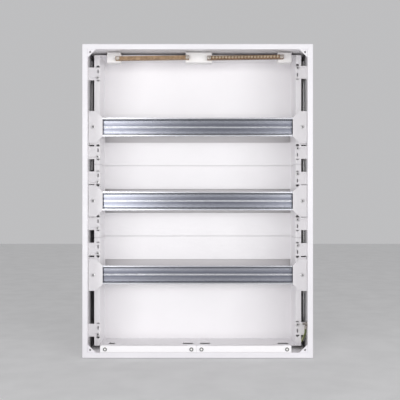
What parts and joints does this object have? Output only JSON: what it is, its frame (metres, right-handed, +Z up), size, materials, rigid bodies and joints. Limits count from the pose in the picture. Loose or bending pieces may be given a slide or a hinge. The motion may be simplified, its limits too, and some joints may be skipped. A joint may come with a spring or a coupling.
{
  "type": "residential load center",
  "caption": "White sheet-steel wall distribution board, open at the front, with device rails on inner trays, brass neutral and earth bars and gland plates.",
  "frame": {"origin": "centre of the back face, on the wall", "axes": "+X to the right seen from the front, +Y into the wall, +Z up"},
  "size_m": [0.416, 0.14, 0.566],
  "materials": {
    "powder_coat": "matte powder coat",
    "galvanised_rail": "passivated zinc",
    "zinc_plated": "zinc plated",
    "white_plastic": "moulded",
    "brass_bar": "extruded, dull",
    "brass_screw": "plated",
    "nylon_fastener": "moulded",
    "earth_pvc": "PVC, green with a yellow stripe",
    "tinned_lug": "tinned copper"
  },
  "bodies": {
    "cabinet": {"bar_screws": "zinc_plated", "box_shell": "powder_coat", "corner_plate_bottom_left": "powder_coat", "corner_plate_bottom_right": "powder_coat", "corner_plate_top_left": "powder_coat", "corner_plate_top_right": "powder_coat", "din_rail_bottom": "galvanised_rail", "din_rail_middle": "galvanised_rail", "din_rail_top": "galvanised_rail", "earth_bar": "brass_bar", "earth_lead": "earth_pvc", "earth_lug_box": "tinned_lug", "earth_lug_screw": "zinc_plated", "earth_lug_tray": "tinned_lug", "earth_stud_nut": "zinc_plated", "gland_plate_left": "powder_coat", "gland_plate_right": "powder_coat", "neutral_bar": "brass_bar", "rail_bracket_bottom_left": "powder_coat", "rail_bracket_bottom_right": "powder_coat", "rail_bracket_middle_left": "powder_coat", "rail_bracket_middle_right": "powder_coat", "rail_bracket_top_left": "powder_coat", "rail_bracket_top_right": "powder_coat", "rail_screws_bottom": "zinc_plated", "rail_screws_middle": "zinc_plated", "rail_screws_top": "zinc_plated", "side_strip_left_upper": "zinc_plated", "side_strip_right_lower": "zinc_plated", "side_strip_right_upper": "zinc_plated", "tab_screws_bottom": "zinc_plated", "tab_screws_middle": "zinc_plated", "tab_screws_top": "zinc_plated", "terminal_support_left": "white_plastic", "terminal_support_middle": "white_plastic", "terminal_support_right": "white_plastic", "tray_bottom": "powder_coat", "tray_middle": "powder_coat", "tray_top": "powder_coat", "wall_tab_left_1": "powder_coat", "wall_tab_left_2": "powder_coat", "wall_tab_left_3": "powder_coat", "wall_tab_left_4": "powder_coat", "wall_tab_left_5": "powder_coat", "wall_tab_left_6": "powder_coat", "wall_tab_right_1": "powder_coat", "wall_tab_right_2": "powder_coat", "wall_tab_right_3": "powder_coat", "wall_tab_right_4": "powder_coat", "wall_tab_right_5": "powder_coat", "wall_tab_right_6": "powder_coat"},
    "gland_fastener_1": {"gland_fastener_1": "nylon_fastener"},
    "gland_fastener_2": {"gland_fastener_2": "nylon_fastener"},
    "gland_fastener_3": {"gland_fastener_3": "nylon_fastener"},
    "gland_fastener_4": {"gland_fastener_4": "nylon_fastener"},
    "neutral_clamps": {"neutral_clamp_screws": "brass_screw"},
    "earth_clamps": {"earth_clamp_screws": "brass_screw"}
  },
  "joints": [
    {"name": "gland_fastener_1_turn", "type": "hinge", "parent": "cabinet", "child": "gland_fastener_1", "pos_m": [-0.167, -0.1374, -0.2674], "axis": [0, -1, 0], "range_deg": [0, 90]},
    {"name": "gland_fastener_2_turn", "type": "hinge", "parent": "cabinet", "child": "gland_fastener_2", "pos_m": [-0.0112, -0.1374, -0.2674], "axis": [0, -1, 0], "range_deg": [0, 90]},
    {"name": "gland_fastener_3_turn", "type": "hinge", "parent": "cabinet", "child": "gland_fastener_3", "pos_m": [0.007, -0.1374, -0.2674], "axis": [0, -1, 0], "range_deg": [0, 90]},
    {"name": "gland_fastener_4_turn", "type": "hinge", "parent": "cabinet", "child": "gland_fastener_4", "pos_m": [0.1613, -0.1374, -0.2674], "axis": [0, -1, 0], "range_deg": [0, 90]},
    {"name": "neutral_clamps_tighten", "type": "slide", "parent": "cabinet", "child": "neutral_clamps", "axis": [0, 1, 0], "range_m": [0, 0.0038]},
    {"name": "earth_clamps_tighten", "type": "slide", "parent": "cabinet", "child": "earth_clamps", "axis": [0, 1, 0], "range_m": [0, 0.0038]}
  ]
}
